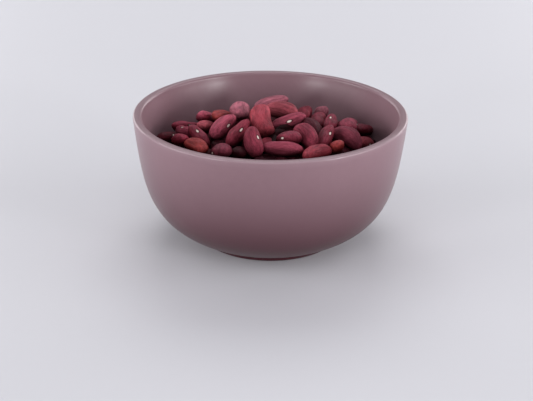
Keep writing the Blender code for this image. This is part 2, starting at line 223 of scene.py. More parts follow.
# How uneven the beans are: a fatter end and a fuller belly as shares of the width, then soft lumps
# by their height in millimetres, how many waves make them up and how close those are
QUIRK_SEED = 12
TAPER = 0.09
BELLY = 0.10
LUMP = 0.11
WAVES = 6
SWIRL = 2.2
BLUNT_ENDS = (2.2, 3.0)
CREASE_WIDTH = 0.035

# Half length and half width of a bean's scar, as shares of the bean's half length and thickness
SCAR_HALF_LENGTH = 0.13
SCAR_HALF_WIDTH = 0.14

# Skin tones, as linear red, green and blue
TONES = {
    "rose": (0.290, 0.085, 0.115),
    "plum rose": (0.225, 0.040, 0.064),
    "plum": (0.170, 0.025, 0.042),
    "grape": (0.150, 0.028, 0.044),
    "crimson": (0.155, 0.018, 0.031),
    "garnet": (0.140, 0.018, 0.030),
    "russet": (0.195, 0.038, 0.050),
    "brick": (0.265, 0.036, 0.050),
    "amber red": (0.245, 0.034, 0.032),
}

# Leading beans whose scar is turned away from the front
HIDDEN_SCARS = (3, 8, 14, 18, 22, 23, 32)
# The share of each tone among the other beans
FILL_SHARES = {
    "plum rose": 0.10,
    "plum": 0.24,
    "grape": 0.17,
    "crimson": 0.22,
    "garnet": 0.16,
    "russet": 0.07,
    "amber red": 0.04,
}
# How bright the other beans are, drawn at random; the limits are kept low as painted shade, for they
# lie lower than the leading beans
FILL_BRIGHTNESS = (0.50, 0.85)
# Painted shade on the buried beans: how bright they are, of the same draw
BURIED_SHADE = 0.6

# Painted shade on the beans under the top layer: how much darker they are, from a depth and over a
# span, in millimetres
SUNK_FROM = 5.5
SUNK_SPAN = 4.0
SUNK_SHADE = 0.7

# Painted light and shade on the skins: how much darker they are between the beans and under them,
# down to a depth in millimetres, and how much lighter on top
SHADE_DEPTH = 12.5
DEEP_SHADE = 0.06
SHADE_FACING = 0.6
SHADE_TURN = 1.3
UNDER_SHADE = 0.3
TOP_LIGHT = 1.26

# The pale bloom on the beans, partly the skins' own bloom and partly a painted sheen on their upper
# faces: each bean's share and how fast it fades as a face turns from up
BLOOM_SEED = 5
BLOOM_SHARES = (0.2, 1.0)
BLOOM_SHEEN_POWER = 1.5

# The camera, in metres and degrees, and its lens in millimetres
CAMERA_HEIGHT = 0.2306
CAMERA_DISTANCE = 0.4907
CAMERA_DOWN = 23.73
CAMERA_TURN = 0.16
CAMERA_ROLL = 0.5
CAMERA_LENS = 80.0
CAMERA_SENSOR = 36.0

# The soft lights: name, azimuth and elevation in degrees, distance, width and height in metres,
# and the brightness of the light's face
LIGHTS = (
    ("Back Top Light", 180, 50, 1.2, 0.80, 0.80, 2.5),
    ("Front Top Light", 0, 50, 1.2, 0.80, 0.80, 1.1),
    ("Left Side Light", -80, 15, 1.1, 0.70, 0.50, 5.3),
    ("Right Side Light", 80, 15, 1.1, 0.70, 0.50, 4.6),
    ("Left Window", -44, 10, 1.0, 0.20, 0.25, 17.0),
    ("Right Window", 53, 10, 1.0, 0.20, 0.25, 24.0),
    ("Left Back Light", -140, 15, 1.1, 0.70, 0.50, 2.4),
    ("Right Back Light", 140, 15, 1.1, 0.70, 0.50, 3.0),
)
# The height that they face, in metres
LIGHT_AIM = 0.04

# The table, in metres: its radius and how far it lies under the bowl
TABLE_RADIUS = 6.0
TABLE_LOW = 0.0003
TABLE_RINGS = 24
TABLE_STEPS = 96

# Each finish's mottle: its blotch scale, its grain scale and the share of grain
GLAZE_MOTTLE = (38.0, 420.0, 0.35)
STREAK_MOTTLE = (1.6, 7.0, 0.45)
BLOTCH_MOTTLE = (1.1, 9.0, 0.25)
FROST_MOTTLE = (3.0, 22.0, 0.6)
CORE_MOTTLE = (160.0, 700.0, 0.3)
TABLE_MOTTLE = (3.0, 240.0, 0.3)
# How fine those two noises are
BLOTCH_DETAIL = 2.0
GRAIN_DETAIL = 3.0
# The part of a mottle's mask that is used, and what the skin's masks do to its tone
MASK_RANGE = (0.3, 0.7)
CORE_RANGE = (0.35, 0.65)
FROST_RANGE = (0.36, 0.62)
STREAK_TONES = ((0.36, 0.64), (0.52, 1.40))
BLOTCH_TONES = ((0.32, 0.68), (0.78, 1.22))
# How far roughness swings about its value
GLAZE_SWING = (-0.02, 0.03)
SKIN_SWING = (-0.05, 0.07)
# Each finish's relief: its strength, and its depth in metres
GLAZE_RELIEF = (0.12, 0.00025)
SKIN_RELIEF = (0.5, 0.0007)
# The glaze shines as usual and the skin barely
GLAZE_SPECULAR = 0.5
DULL_SPECULAR = 0.02
# How far the skin's patterns are moved from bean to bean, and how they are drawn out along it
SEED_SHIFT = (7.0, 3.0, 5.0)
STREAK_STRETCH = (0.5, 2.2, 2.2)
# The scar's oval and its ring: where the edge fades, in half lengths, and the strengths there
SCAR_EDGE = ((0.8, 1.1), (1.0, 0.0))
RING_EDGE = ((1.2, 1.9), (0.8, 0.0))
# Two plain finishes: mottle, part of its mask, roughness, specular level and relief
CORE_FINISH = (CORE_MOTTLE, CORE_RANGE, 0.7, DULL_SPECULAR, (0.6, 0.0012))
TABLE_FINISH = (TABLE_MOTTLE, MASK_RANGE, 0.55, 0.35, (0.03, 0.0002))
# The darker of the table's two tones, as a share of the other
TABLE_DIP = 0.985

# The field that holds each kind of attribute's values
ATTRIBUTE_FIELDS = {"FLOAT": "value", "FLOAT_COLOR": "color", "FLOAT_VECTOR": "vector"}
# Where nodes are laid out, and the sockets of a Mix node that are its colour ones
NODE_STEP = 220
NODE_START = 8000
COLOUR_MIX_INPUTS = (0, 6, 7)
COLOUR_MIX_OUTPUT = 2


def bezier(start, start_pull, end_pull, end, count):
    """Points along a cubic curve, from its two ends and the two points that pull it."""
    t = np.linspace(0, 1, count + 1)[:, None]
    ends = (1 - t) ** 3 * np.array(start) + t**3 * np.array(end)
    pulls = (1 - t) ** 2 * t * np.array(start_pull) + (1 - t) * t**2 * np.array(end_pull)
    return ends + 3 * pulls


def inner_wall(count):
    """Radius and height down the bowl's inside, from under the lip to the flat of its floor."""
    top = (RIM_RADIUS - WALL, HEIGHT - LIP_INNER_ROUND)
    return bezier(top, INNER_HIGH_PULL, INNER_LOW_PULL, (FLOOR_FLAT_RADIUS, FLOOR_HEIGHT), count)


def inner_radius(height):
    """The bowl's inner radius at a height."""
    wall = inner_wall(WALL_LOOKUP)[::-1]
    return np.interp(height, wall[:, 1], wall[:, 0])


def mound(radius):
    """Height of the heap's top at a distance from the middle."""
    return MOUND_TOP - MOUND_DROP * (radius / MOUND_RADIUS) ** MOUND_POWER


def turn_of(heading, tilt, roll):
    """Long, width and thickness axes as the columns of one 3 x 3 array for each bean."""
    heading, tilt, roll = np.radians([heading, tilt, roll])
    flat = np.zeros_like(heading)
    long_axis = np.stack(
        [np.cos(tilt) * np.cos(heading), np.cos(tilt) * np.sin(heading), np.sin(tilt)], axis=1
    )
    side = np.stack([-np.sin(heading), np.cos(heading), flat], axis=1)
    lift = np.cross(long_axis, side)
    width = np.cos(roll)[:, None] * side + np.sin(roll)[:, None] * lift
    return np.stack([long_axis, width, np.cross(long_axis, width)], axis=2)


def squared(turn):
    """Makes each set of axes square again after small turns."""
    long_axis = turn[:, :, 0] / np.linalg.norm(turn[:, :, 0], axis=1, keepdims=True)
    width = turn[:, :, 1] - (turn[:, :, 1] * long_axis).sum(axis=1, keepdims=True) * long_axis
    width = width / np.linalg.norm(width, axis=1, keepdims=True)
    return np.stack([long_axis, width, np.cross(long_axis, width)], axis=2)


def fill_top(spot, deep, placed):
    """Height that the tops of the other beans keep under: lower at the back.

    A deep one keeps DEEPER below that, or just above the undersides of the leading beans near it.
    """
    back = np.maximum(spot[..., 1] - BACK_START, 0) * BACK_FALL
    top = mound(np.linalg.norm(spot, axis=-1)) - TOP_CLEAR - back
    away = np.linalg.norm(spot[..., None, :] - placed[:, :2], axis=-1) / NEAR_LEAD
    weight = np.exp(-(away**2))
    under = ((placed[:, 2] - HALF_BEAN + PRESS) * weight).sum(axis=-1)
    under = (under + LEAD_SHARE * (top - DEEPER)) / (weight.sum(axis=-1) + LEAD_SHARE)
    return np.where(deep > 0, under, top)


def sunflower(count, reach):
    """East and north of points spread evenly on a disc: turned by the golden angle, one by one."""
    index = np.arange(count)
    radius = reach * np.sqrt((index + 0.5) / count)
    angle = index * GOLDEN_ANGLE
    return radius[:, None] * np.stack([np.cos(angle), np.sin(angle)], axis=1)


def between(limits, share):
    """The value at a share of the way between two limits."""
    return limits[0] + (limits[1] - limits[0]) * share


def spread_fill(placed, random):
    """Rows like LEADING_BEANS on a sunflower spiral, and which of them lie deep."""
    spot = sunflower(FILL_POINTS, FILL_REACH) + random.normal(0, FILL_JITTER, (FILL_POINTS, 2))
    heading = np.radians(placed[:, 3])
    reach = np.stack([np.cos(heading), np.sin(heading)], axis=1) * placed[:, 6:7] / 4
    taken = np.concatenate([placed[:, :2] - reach, placed[:, :2], placed[:, :2] + reach])
    gap = np.linalg.norm(spot[:, None] - taken[None], axis=2).min(axis=1)
    deep = gap < CLEAR_OF_PLACED
    draw = random.random((FILL_POINTS, 5))
    height = fill_top(spot, deep, placed) - HALF_BEAN
    turn = [360 * draw[:, 0], FILL_TILT * (2 * draw[:, 1] - 1), FILL_ROLL * (2 * draw[:, 2] - 1)]
    size = [between(BEAN_LENGTH, draw[:, 3]), between(PLUMPNESS, draw[:, 4])]
    return np.column_stack([spot, height, *turn, *size]), deep


def ball_offsets(size):
    """Each bean as eight balls, four along by two across, in its own axes."""
    ball = size[:, 2] / 2
    along = np.array([-1, -1 / 3, 1 / 3, 1] * 2)
    across = np.repeat([-1, 1], 4) * np.array([END_BALLS_SPREAD, 1, 1, END_BALLS_SPREAD] * 2)
    x = along * (size[:, :1] / 2 - ball[:, None])
    y = across * (size[:, 1:2] / 2 - ball[:, None])
    return np.stack([x, y, np.zeros_like(x)], axis=2)


def ease_apart(middle, turn, size, free, deep):
    """Moves the free beans out of others, inside the bowl and on the core.

    They sink, and the deep ones rise against the fixed beans. Beans that touch cross by PRESS.
    """
    placed = middle[~free]
    ball = size[:, 2] / 2
    offsets = ball_offsets(size)
    loose = free.astype(float)[:, None]
    deep = deep[:, None]
    fall = FALL * (1 - 2 * deep) * [0, 0, 1]
    for _ in range(ROUNDS):
        arm = np.einsum("nij,nkj->nki", turn, offsets)
        balls = middle[:, None] + arm
        near = np.linalg.norm(middle[:, None] - middle[None], axis=2) < PAIR_REACH
        first, second = np.nonzero(np.triu(near & (free[:, None] | free), 1))
        apart = balls[first][:, :, None] - balls[second][:, None]
        distance = np.maximum(np.linalg.norm(apart, axis=3), TINY)
        reach = (ball[first] + ball[second] - PRESS)[:, None, None]
        crossing = np.maximum(reach - distance, 0)
        push = apart * (crossing / distance)[..., None]
        share = np.where(free[first] & free[second], 0.5, 1)[:, None, None]
        force = np.zeros_like(balls)
        count = np.zeros(len(middle))
        np.add.at(force, first, push.sum(axis=2) * share)
        np.add.at(force, second, -push.sum(axis=1) * share)
        touching = (crossing > 0).sum(axis=(1, 2))
        np.add.at(count, first, touching)
        np.add.at(count, second, touching)
        radius = np.maximum(np.linalg.norm(balls[:, :, :2], axis=2), TINY)
        room = inner_radius(balls[:, :, 2]) - GAP - ball[:, None]
        outside = np.maximum(radius - room, 0)
        force[:, :, :2] -= balls[:, :, :2] * (outside / radius)[..., None]
        bed = mound(np.minimum(radius, MOUND_RADIUS)) - CORE_BELOW_TOP - BED_SINK
        below = np.maximum(bed + ball[:, None] - balls[:, :, 2], 0)
        top = fill_top(balls[:, :, :2], deep, placed)
        above = np.maximum(balls[:, :, 2] + ball[:, None] - top, 0)
        force[:, :, 2] += below - above
        count += (outside > 0).sum(axis=1) + (below > 0).sum(axis=1) + (above > 0).sum(axis=1)
        count = np.maximum(count, 1)[:, None]
        middle = middle + loose * (force.sum(axis=1) / count - fall)
        inertia = count * (arm**2).sum(axis=2).mean(axis=1, keepdims=True)
        spin = loose * np.cross(arm, force).sum(axis=1) / inertia
        turn = squared(turn + np.cross(spin[:, :, None], turn, axisa=1, axisb=1, axisc=1))
    return middle, turn


def kept_inside(middle, turn, size):
    """Moves towards the axis each bean whose surface comes too near the bowl's inside."""
    height = np.linspace(-1, 1, SKIN_RINGS)
    around = np.linspace(0, 2 * math.pi, SKIN_SIDES, endpoint=False)
    height, around = (grid.ravel() for grid in np.meshgrid(height, around))
    ring = np.sqrt(1 - height**2)
    ball = np.stack([height, ring * np.cos(around), ring * np.sin(around)], axis=1)
    skin = bean_surface(ball, size)
    for _ in range(SKIN_ROUNDS):
        points = middle[:, None] + np.einsum("nij,nkj->nki", turn, skin)
        radius = np.linalg.norm(points[:, :, :2], axis=2)
        outside = (radius - inner_radius(points[:, :, 2]) + GAP + SKIN_CLEAR).max(axis=1)
        inward = middle[:, :2] / np.linalg.norm(middle[:, :2], axis=1, keepdims=True)
        middle[:, :2] -= inward * np.maximum(outside, 0)[:, None]
    return middle


def heap_layout():
    """Middles, axes and sizes of the heap's upper beans, in millimetres."""
    random = np.random.default_rng(SPREAD_SEED)
    placed = np.array([row[:PLACE_COLUMNS] for row in LEADING_BEANS])
    fill, deep = spread_fill(placed, random)
    rows = np.vstack([placed, fill])
    bend = random.uniform(*BEAN_BEND, len(rows))
    plump = rows[:, 7]
    size = np.column_stack([rows[:, 6], BEAN_WIDTH * plump, BEAN_THICKNESS * plump, bend])
    free = np.arange(len(rows)) >= len(placed)
    deep = np.concatenate([np.zeros(len(placed)), deep])
    middle, turn = ease_apart(rows[:, :3], turn_of(*rows[:, 3:6].T), size, free, deep)
    return kept_inside(middle, turn, size), turn, size


def bean_directions(direction):
    """Along the bean for points of a unit ball, then across and up over their distance from it."""
    ring = np.maximum(np.hypot(direction[:, 1], direction[:, 2]), TINY)
    return direction[None, :, 0], direction[None, :, 1] / ring, direction[None, :, 2] / ring


def scar_dent(along, across):
    """Depth of the shallow dent in the middle of the scar's side."""
    return HILUM_DENT * np.exp(-((along / HILUM_REACH) ** 2)) * np.maximum(-across, 0) ** 2


def bean_surface(direction, size):
    """Turns points of a unit ball into those of every bean at once.

    The long way is blunter than a ball's, both ends bend to the side of the scar, and a shallow
    dent marks that side's middle.
    """
    length, width, thickness, bend = (column[:, None] for column in size.T)
    along, across, up = bean_directions(direction)
    swell = np.sqrt(np.maximum(1 - np.abs(along) ** BLUNT_END, 0))
    x = along * length / 2
    y = across * (swell * width / 2 - scar_dent(along, across)) - bend * (along**2 - 1 / 3)
    z = up * swell * thickness / 2
    return np.stack([x, y, z], axis=2)


def uneven_bean(direction, size, quirk):
    """Points of every bean at once, as uneven as real ones.

    It is bean_surface with each bean's own bluntness, and with its half width and half thickness
    scaled by 1 + taper * along, its belly by 1 + belly and its back by 1 - belly, raised by
    waves of the direction and cut by a crease that runs along it.
    """
    length, width, thickness, bend = (column[:, None] for column in size.T)
    blunt, taper, belly, crease, crease_at = (column[:, None] for column in quirk[:, :5].T)
    along, across, up = bean_directions(direction)
    swell = np.sqrt(np.maximum(1 - np.abs(along) ** blunt, 0)) * (1 + taper * along)
    turned_from = across * np.cos(crease_at) + up * np.sin(crease_at)
    furrow = crease * np.exp((turned_from - 1) / CREASE_WIDTH) * (1 - along**2)
    ground = direction @ quirk[:, 5:].reshape(len(size), 3, WAVES)
    lump = LUMP * np.sin(ground + np.arange(WAVES)).sum(axis=2) * (1 - along**2) ** 0.5
    half_width = swell * width / 2 - scar_dent(along, across) - furrow + lump
    half_thickness = swell * thickness / 2 * (1 + belly * up) + lump - furrow
    x = along * length / 2
    y = across * half_width - bend * (along**2 - 1 / 3)
    return np.stack([x, y, up * half_thickness], axis=2)


def ball_grid(rings, sides):
    """Points of a unit ball: a pole, rings at even angles from it, each of some sides, a pole."""
    down = np.linspace(0, math.pi, rings + 2)[1:-1]
    around = np.linspace(0, 2 * math.pi, sides, endpoint=False)
    down, around = (grid.ravel() for grid in np.meshgrid(down, around, indexing="ij"))
    middle = [np.cos(down), np.sin(down) * np.cos(around), np.sin(down) * np.sin(around)]
    return np.vstack([(1, 0, 0), np.stack(middle, axis=1), (-1, 0, 0)])


def ringed_faces(rings, sides):
    """Four-sided faces between rings and three-sided ones at both poles, as point numbers.

    The points are the first pole, the rings in order and the last pole. Face (i, j) joins sides
    j and j + 1 of rings i and i + 1.
    """
    side = np.arange(sides)
    following = (side + 1) % sides
    start = 1 + sides * np.arange(rings)[:, None]
    corners = [start[:-1] + side, start[1:] + side, start[1:] + following, start[:-1] + following]
    quads = np.stack(corners, axis=2).reshape(-1, 4)
    last = 1 + sides * rings
    first_fan = np.stack([np.zeros(sides, int), 1 + side, 1 + following], axis=1)
    under = last - sides
    last_fan = np.stack([np.full(sides, last), under + following, under + side], axis=1)
    return quads, np.vstack([first_fan, last_fan])


def lathe(profile, steps):
    """Turns an outline of (radius, height) rows round the Z axis.

    Row i at step j lies at (r cos a, r sin a, h) with a = 2 pi j / steps. The first and the last
    row lie on the axis, and each is one point.
    """
    angle = np.linspace(0, 2 * math.pi, steps, endpoint=False)
    radius, height = profile[1:-1, :1], profile[1:-1, 1:]
    rings = [radius * np.cos(angle), radius * np.sin(angle), height + 0 * angle]
    rings = np.stack(rings, axis=2).reshape(-1, 3)
    ends = np.array([(0, 0, profile[0, 1]), (0, 0, profile[-1, 1])])
    return np.vstack([ends[:1], rings, ends[1:]])


def rounded(corners, reach, count):
    """Rounds each inner corner of a line of points.

    A corner becomes the curve (1 - t)^2 a + 2 t (1 - t) c + t^2 b between the points a and b at
    the reach from it on either side.
    """
    t = np.linspace(0, 1, count + 1)[:, None]
    line = [corners[:1]]
    for before, corner, after in zip(corners[:-2], corners[1:-1], corners[2:]):
        sides = (before - corner, after - corner)
        shares = (min(reach / np.linalg.norm(side), ROUND_LIMIT) for side in sides)
        start, end = (corner + side * share for side, share in zip(sides, shares))
        line.append((1 - t) ** 2 * start + 2 * t * (1 - t) * corner + t**2 * end)
    line.append(corners[-1:])
    return np.vstack(line)


def lip_arcs():
    """The lip's two quarter rounds, from the inner wall over the flat top to the outer wall."""
    turn = np.linspace(0, math.pi / 2, LIP_SEGMENTS + 1)[:, None]
    inner = np.array([RIM_RADIUS - WALL + LIP_INNER_ROUND, HEIGHT - LIP_INNER_ROUND])
    outer = np.array([RIM_RADIUS - LIP_OUTER_ROUND, HEIGHT - LIP_OUTER_ROUND])
    inner = inner + LIP_INNER_ROUND * np.hstack([-np.cos(turn), np.sin(turn)])
    outer = outer + LIP_OUTER_ROUND * np.hstack([np.sin(turn), np.cos(turn)])
    return np.vstack([inner, outer])


def bowl_profile():
    """The bowl's outline, radius and height: up the inside, over the lip, down to the foot."""
    start, end = (RIM_RADIUS, HEIGHT - LIP_OUTER_ROUND), (FOOT_RADIUS, FOOT_HEIGHT)
    outer = bezier(start, OUTER_HIGH_PULL, OUTER_LOW_PULL, end, WALL_SEGMENTS)
    ring_outside = FOOT_RADIUS - FOOT_DRAFT
    ring_inside = ring_outside - FOOT_RING_WIDTH
    recess = [(ring_inside - RECESS_SLOPE, RECESS_DEPTH), (0, RECESS_DEPTH)]
    foot = np.vstack([outer[-2:], [(ring_outside, 0), (ring_inside, 0), *recess]])
    foot = rounded(foot, EDGE_ROUND, EDGE_SEGMENTS)
    inside = inner_wall(WALL_SEGMENTS)[::-1]
    return np.vstack([[(0, FLOOR_HEIGHT)], inside[:-1], lip_arcs(), outer[1:-2], foot])


def core_profile():
    """The heap's core: its domed top, then down beside the bowl's inside to the floor."""
    wall = inner_wall(WALL_SEGMENTS) - [GAP, 0]
    wall[-1] = (FLOOR_FLAT_RADIUS, FLOOR_HEIGHT + GAP)
    radius = np.linspace(0, MOUND_RADIUS, CORE_SEGMENTS + 1)
    top = np.stack([radius, mound(radius) - CORE_BELOW_TOP - CORE_LOWER], axis=1)
    side = wall[wall[:, 1] < top[-1, 1]]
    return np.vstack([top, side, [(0, FLOOR_HEIGHT + GAP)]])


def new_piece(name, points, quads, triangles, material, smooth=True):
    """Puts points in millimetres and their faces into a new mesh object at the origin."""
    mesh = bpy.data.meshes.new(name)
    mesh.from_pydata((points * MM).tolist(), [], quads.tolist() + triangles.tolist())
    if smooth:
        mesh.shade_smooth()
    if mesh.validate():
        raise RuntimeError(f"{name} has faulty faces")
    mesh.materials.append(material)
    piece = bpy.data.objects.new(name, mesh)
    bpy.context.scene.collection.objects.link(piece)
    return piece


def turned_piece(name, profile, steps, material, smooth=True):
    """A new piece from an outline turned round the Z axis, and its points in millimetres."""
    points = lathe(profile, steps)
    quads, triangles = ringed_faces(len(profile) - 2, steps)
    return new_piece(name, points, quads, triangles, material, smooth), points


def put_on(piece, node_name):
    """The piece rides the body and stands for a node, which it hides."""
    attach(piece, BODY)
    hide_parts(node_name)


def write_attribute(piece, name, kind, values):
    """Gives each point of a piece a value that its material reads."""
    attribute = piece.data.attributes.new(name, kind, "POINT")
    attribute.data.foreach_set(ATTRIBUTE_FIELDS[kind], values.astype(np.float32).ravel())


def buried_layout():
    """Middles, axes and sizes of the beans under the others, on a sunflower spiral."""
    random = np.random.default_rng(BURIED_SEED)
    spot = sunflower(BURIED_POINTS, BURIED_REACH)
    height = mound(np.linalg.norm(spot, axis=1)) - BURIED_DEPTH
    draw = random.random((5, BURIED_POINTS))
    turn = turn_of(360 * draw[0], BURIED_TILT * (2 * draw[1] - 1), 90 * (2 * draw[2] - 1))
    length, plump = between(BEAN_LENGTH, draw[3]), between(PLUMPNESS, draw[4])
    size = [length, BEAN_WIDTH * plump, BEAN_THICKNESS * plump, np.full(len(spot), BEAN_BEND[0])]
    return np.column_stack([spot, height]), turn, np.stack(size, axis=1)


def bean_looks(count):
    """Each bean's tone, with painted shade on the lower beans, and its quirks, from the leading list
    and then by seeded draws.
    """
    random = np.random.default_rng(QUIRK_SEED)
    looks = [row[PLACE_COLUMNS:] for row in LEADING_BEANS]
    leads = len(looks)
    names = random.choice(list(FILL_SHARES), count - leads, p=list(FILL_SHARES.values()))
    bright = random.uniform(*FILL_BRIGHTNESS, (count - leads, 1))
    # Painted shade on the buried beans
    bright[-BURIED_POINTS:] *= BURIED_SHADE
    lead_shaded_tone = [np.array(TONES[look[0]]) * look[1] for look in looks]
    shaded_tone = np.vstack([lead_shaded_tone, np.array([TONES[name] for name in names]) * bright])
    limits = (BLUNT_ENDS, (-TAPER, TAPER), (-BELLY, BELLY))
    shape = [random.uniform(*limit, count) for limit in limits]
    crease_at = random.uniform(0, 2 * math.pi, count)
    swirl = random.normal(0, SWIRL, (count, 3 * WAVES))
    quirk = np.column_stack([*shape, np.zeros(count), crease_at, swirl])
    quirk[:leads, [0, 3]] = [look[2:] for look in looks]
    return shaded_tone, quirk


def heap_top(points):
    """Height of the heap's top over each point: the mound's, less the fall at the back."""
    back = np.maximum(points[:, 1] - BACK_START, 0) * BACK_FALL
    return mound(np.hypot(points[:, 0], points[:, 1])) - back


def sunk_share(middle):
    """How far each bean lies under the top layer, from 0 to 1 by the depth of its middle."""
    return np.clip((heap_top(middle) - middle[:, 2] - SUNK_FROM) / SUNK_SPAN, 0, 1)


def heap_shade(points, facing):
    """How light each point of the heap is, from its height and from how far it faces up.

    It falls to DEEP_SHADE over SHADE_DEPTH below the heap's top, and to UNDER_SHADE as the face
    turns down over SHADE_TURN from SHADE_FACING.
    """
    depth = np.clip((heap_top(points) - points[:, 2]) / SHADE_DEPTH, 0, 1)
    under = np.clip((SHADE_FACING - facing) / SHADE_TURN, 0, 1)
    return (1 - (1 - DEEP_SHADE) * depth) * (1 - (1 - UNDER_SHADE) * under)


def bean_batch(grid, middle, turn, size, quirk, start):
    """Points, faces, unit ball points and upward facing of some beans that share a grid.

    A point faces up by the height of its ellipsoid's normal. The points are numbered from start.
    """
    ball = ball_grid(*grid)
    normal = ball / size[:, None, :3]
    normal /= np.linalg.norm(normal, axis=2, keepdims=True)
    facing = np.einsum("nj,nkj->nk", turn[:, 2], normal)
    points = np.einsum("nij,nkj->nki", turn, uneven_bean(ball, size, quirk)) + middle[:, None]
    first = start + len(ball) * np.arange(len(middle))[:, None, None]
    quads, triangles = ((first + face).reshape(-1, face.shape[1]) for face in ringed_faces(*grid))
    ball = np.tile(ball, (len(middle), 1))
    return points.reshape(-1, 3), quads, triangles, ball, facing.ravel()


def joined_beans():
    """All beans as one surface: points, faces, and each point's ball point, tone with painted light
    and shade, seed, and bloom with a painted sheen.
    """
    leads = len(LEADING_BEANS)
    layout = heap_layout()
    groups = [
        (LEAD_GRID, *(values[:leads] for values in layout)),
        (FILL_GRID, *(values[leads:] for values in layout)),
        (BURIED_GRID, *buried_layout()),
    ]
    middles = np.concatenate([group[1] for group in groups])
    sunk = sunk_share(middles)
    shaded_tone, quirk = bean_looks(len(middles))
    # Painted shade: beans under the top layer are darker
    shaded_tone[leads:] *= 1 - SUNK_SHADE * sunk[leads:, None]
    batches, seed = [], []
    done = made = 0
    for group in groups:
        count = len(group[1])
        batch = bean_batch(*group, quirk[done : done + count], made)
        batches.append(batch)
        seed.append(np.repeat(np.arange(done, done + count), len(batch[0]) // count))
        done += count
        made += len(batch[0])
    points, quads, triangles, ball, facing = map(np.concatenate, zip(*batches))
    seed = np.concatenate(seed)
    ball[np.isin(seed, HIDDEN_SCARS), 1] *= -1
    # Painted light and shade: darker between the beans and on faces that look down, lighter on top
    shade = heap_shade(points, facing)
    bloom_and_sheen = np.random.default_rng(BLOOM_SEED).uniform(*BLOOM_SHARES, len(middles)) * (1 - sunk)
    # Painted sheen: the bloom only on faces that look up, darkened with the painted shade
    bloom_and_sheen = bloom_and_sheen[seed] * shade * np.clip(facing, 0, 1) ** BLOOM_SHEEN_POWER
    return points, quads, triangles, ball, shaded_tone[seed] * TOP_LIGHT * shade[:, None], seed, bloom_and_sheen


def feed(tree, node, inputs):
    """Feeds a node's inputs, by name or in order, each from a socket or with a value."""
    pairs = inputs.items() if isinstance(inputs, dict) else enumerate(inputs)
    for key, value in pairs:
        socket = node.inputs[key]
        if isinstance(value, bpy.types.NodeSocket):
            tree.links.new(value, socket)
        elif socket.type == "RGBA":
            socket.default_value = (*value, 1.0)
        else:
            socket.default_value = value


def add_node(tree, kind, inputs=(), **settings):
    """A node of a kind, right of those made before it, with its settings and its inputs fed."""
    made = tree.nodes.new(kind)
    made.location = (NODE_STEP * len(tree.nodes) - NODE_START, 0)
    for name, value in settings.items():
        setattr(made, name, value)
    feed(tree, made, inputs)
    return made


def new_material(name):
    """An empty node material with its Principled shader and that shader's tree."""
    material = bpy.data.materials.new(name)
    material.use_nodes = True
    tree = material.node_tree
    return material, tree, tree.nodes["Principled BSDF"]


def mottle_group():
    """A shader node group: soft blotches and fine grain as one mask from 0 to 1 round a half."""
    name = "Soft Mottle"
    if name in bpy.data.node_groups:
        return bpy.data.node_groups[name]
    tree = bpy.data.node_groups.new(name, "ShaderNodeTree")
    tree.interface.new_socket("Vector", in_out="INPUT", socket_type="NodeSocketVector")
    for label in ("Blotch Scale", "Grain Scale", "Grain Share"):
        tree.interface.new_socket(label, in_out="INPUT", socket_type="NodeSocketFloat")
    tree.interface.new_socket("Mask", in_out="OUTPUT", socket_type="NodeSocketFloat")
    given = add_node(tree, "NodeGroupInput").outputs
    noises = []
    for label, detail in (("Blotch Scale", BLOTCH_DETAIL), ("Grain Scale", GRAIN_DETAIL)):
        inputs = {"Vector": given["Vector"], "Scale": given[label], "Detail": detail}
        noises.append(add_node(tree, "ShaderNodeTexNoise", inputs).outputs["Fac"])
    inputs = {"Factor": given["Grain Share"], "A": noises[0], "B": noises[1]}
    blend = add_node(tree, "ShaderNodeMix", inputs)
    add_node(tree, "NodeGroupOutput", {"Mask": blend.outputs["Result"]})
    return tree


def add_mottle(tree, vector, mottle):
    """The mask of the mottle group on a vector, with its two scales and its share of grain."""
    group = add_node(tree, "ShaderNodeGroup", node_tree=mottle_group())
    feed(tree, group, (vector, *mottle))
    return group.outputs["Mask"]


def remap(tree, value, from_range, to_range):
    """A value moved from one range to another, held at its ends."""
    inputs = (value, *from_range, *to_range)
    return add_node(tree, "ShaderNodeMapRange", inputs).outputs["Result"]


def compute(tree, operation, first, second=0.0):
    """The outcome of a Math node; each input is a socket or a number."""
    return add_node(tree, "ShaderNodeMath", (first, second), operation=operation).outputs["Value"]


def blend_colours(tree, factor, first, second, kind="MIX"):
    """The outcome of a colour Mix node; the factor and both colours are sockets or values."""
    inputs = dict(zip(COLOUR_MIX_INPUTS, (factor, first, second)))
    made = add_node(tree, "ShaderNodeMix", data_type="RGBA", blend_type=kind)
    feed(tree, made, inputs)
    return made.outputs[COLOUR_MIX_OUTPUT]


def read_attribute(tree, name, output="Fac"):
    """A value that the piece holds for each of its points."""
    return add_node(tree, "ShaderNodeAttribute", attribute_name=name).outputs[output]


def mottled_colour(tree, mottle, mask_range, low, high):
    """A colour between two by the mottle on Object coordinates, and the mottle's mask."""
    place = add_node(tree, "ShaderNodeTexCoord").outputs["Object"]
    mask = add_mottle(tree, place, mottle)
    return blend_colours(tree, remap(tree, mask, mask_range, (0.0, 1.0)), low, high), mask


def swung(tree, mask, roughness, swing):
    """Roughness that a mask moves about its value, between the two ends of the swing."""
    return remap(tree, mask, MASK_RANGE, [roughness + change for change in swing])


def dress(tree, shader, colour, roughness, specular, height, relief):
    """Gives a shader its colour, roughness and specular level, and relief from a height."""
    inputs = {"Strength": relief[0], "Distance": relief[1], "Height": height}
    normal = add_node(tree, "ShaderNodeBump", inputs).outputs["Normal"]
    feed(tree, shader, {"Base Color": colour, "Roughness": roughness, "Normal": normal})
    feed(tree, shader, {"Specular IOR Level": specular})


